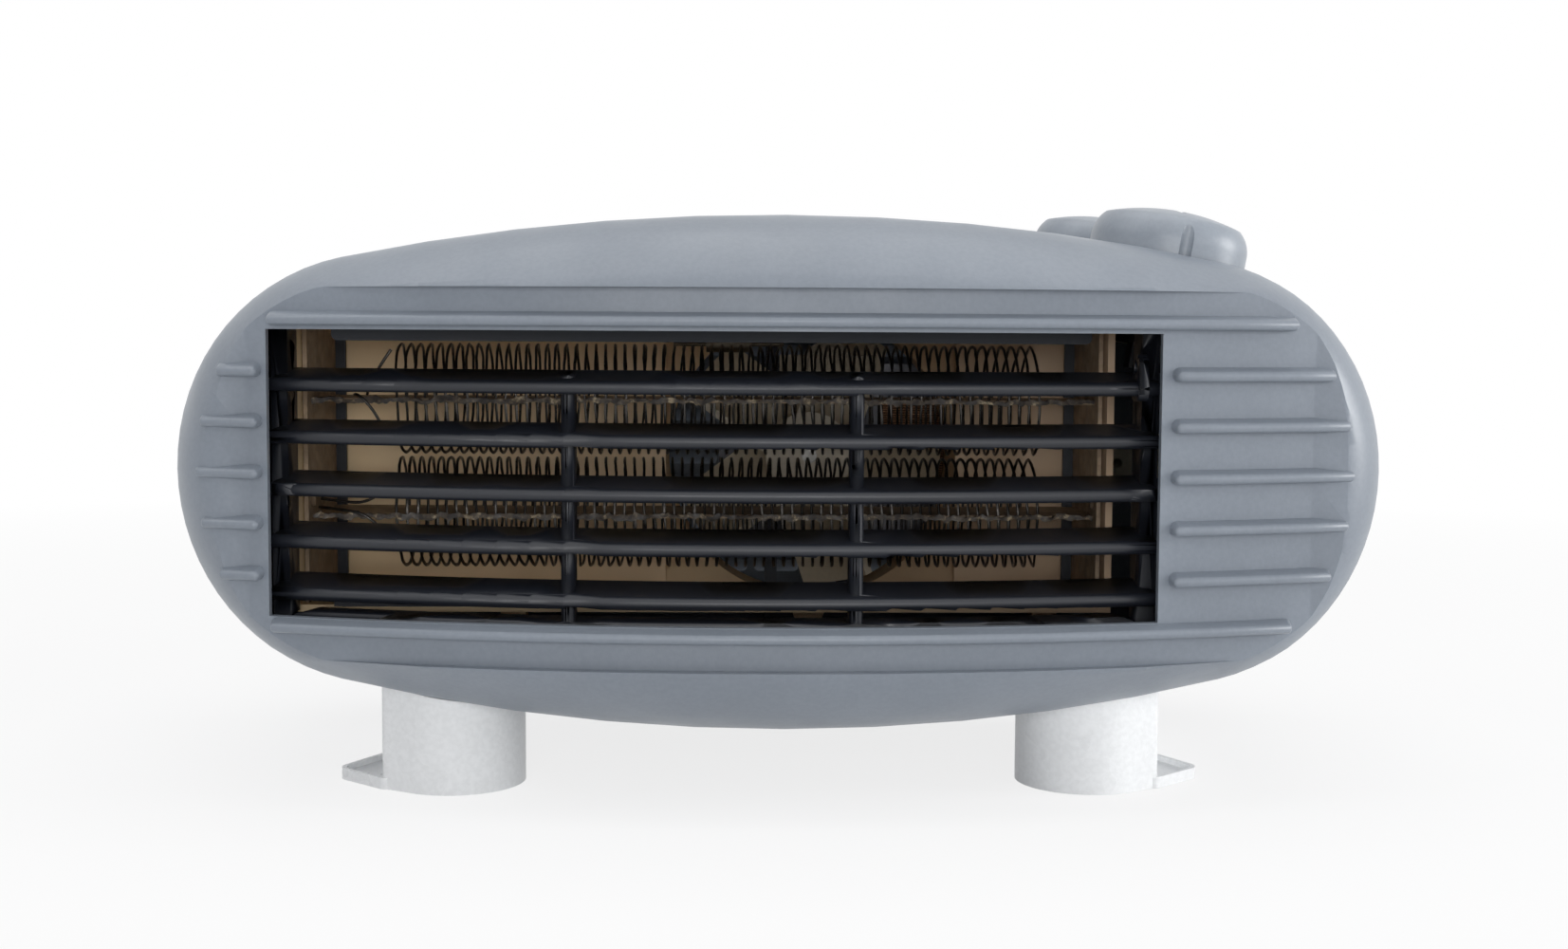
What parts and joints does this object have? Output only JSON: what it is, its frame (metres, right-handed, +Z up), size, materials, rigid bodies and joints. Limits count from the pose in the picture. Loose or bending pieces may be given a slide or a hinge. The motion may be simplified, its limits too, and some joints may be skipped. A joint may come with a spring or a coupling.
{
  "type": "portable fan heater",
  "caption": "Lens-shaped portable electric fan heater on feet, with a louvred outlet over wire heating elements and two control knobs on top.",
  "frame": {"origin": "on the floor under the middle of the whole object, between the feet", "axes": "+X along the width towards the end with the controls, -Y out of the air outlet at the front, +Z up"},
  "size_m": [0.274, 0.144, 0.1338],
  "materials": {
    "housing_plastic": "satin grey-blue moulding",
    "grille_plastic": "satin blue-black moulding",
    "foot_plastic": "satin white moulding",
    "knob_plastic": "satin grey moulding",
    "black_plastic": "matt black moulding",
    "duct_plastic": "matt beige heat-resisting moulding",
    "fan_plastic": "satin cream moulding",
    "ivory_plastic": "satin ivory moulding",
    "ceramic": "matt steatite ceramic",
    "mica": "dull pressed mica board with rough cut edges",
    "bright_steel": "zinc-plated",
    "dark_steel": "dark grey, satin",
    "core_steel": "stacked laminations",
    "heating_wire": "oxidised resistance wire",
    "copper": "enamelled copper winding",
    "bronze": "sintered bronze",
    "cast_aluminium": "die-cast, dull",
    "black_rubber": "matt black"
  },
  "bodies": {
    "housing": {"front_cover": "housing_plastic", "rear_shell": "housing_plastic", "outlet_grille": "grille_plastic", "left_foot": "foot_plastic", "right_foot": "foot_plastic", "mode_switch": "black_plastic", "thermostat": "ceramic", "control_nuts": "bright_steel", "upper_heat_shield": "dark_steel", "lower_heat_shield": "dark_steel", "air_duct": "duct_plastic", "left_end_plate": "mica", "right_end_plate": "mica", "upper_mica_board": "mica", "lower_mica_board": "mica", "upper_heating_coil": "heating_wire", "lower_heating_coil": "heating_wire", "element_brackets": "dark_steel", "thermal_cutout": "bright_steel", "thermal_fuse": "bright_steel", "motor_core": "core_steel", "motor_winding": "copper", "front_motor_bracket": "cast_aluminium", "rear_motor_bracket": "cast_aluminium", "shaft_bushes": "bronze", "motor_carrier": "dark_steel", "motor_screws": "bright_steel", "carrier_screws": "bright_steel", "terminal_block": "ivory_plastic", "cord_inlet": "black_rubber", "cord_clamp": "ivory_plastic", "clamp_screws": "bright_steel", "shell_screws": "bright_steel", "foot_screws": "bright_steel"},
    "mode_control": {"mode_knob": "knob_plastic", "mode_spindle": "bright_steel"},
    "thermostat_control": {"thermostat_knob": "knob_plastic", "thermostat_spindle": "bright_steel"},
    "fan": {"fan_rotor": "fan_plastic", "motor_shaft": "bright_steel", "motor_rotor": "core_steel"}
  },
  "joints": [
    {"name": "mode_turn", "type": "hinge", "parent": "housing", "child": "mode_control", "pos_m": [0.089, -0.022, 0.1215], "axis": [0.1718, 0, 0.9851], "range_deg": [0, 270]},
    {"name": "thermostat_turn", "type": "hinge", "parent": "housing", "child": "thermostat_control", "pos_m": [0.083, 0.023, 0.12251], "axis": [0.1602, 0, 0.9871], "range_deg": [0, 270]},
    {"name": "fan_spin", "type": "hinge", "parent": "housing", "child": "fan", "pos_m": [0.008, 0.03, 0.0727], "axis": [0, -1, 0], "continuous": true}
  ]
}
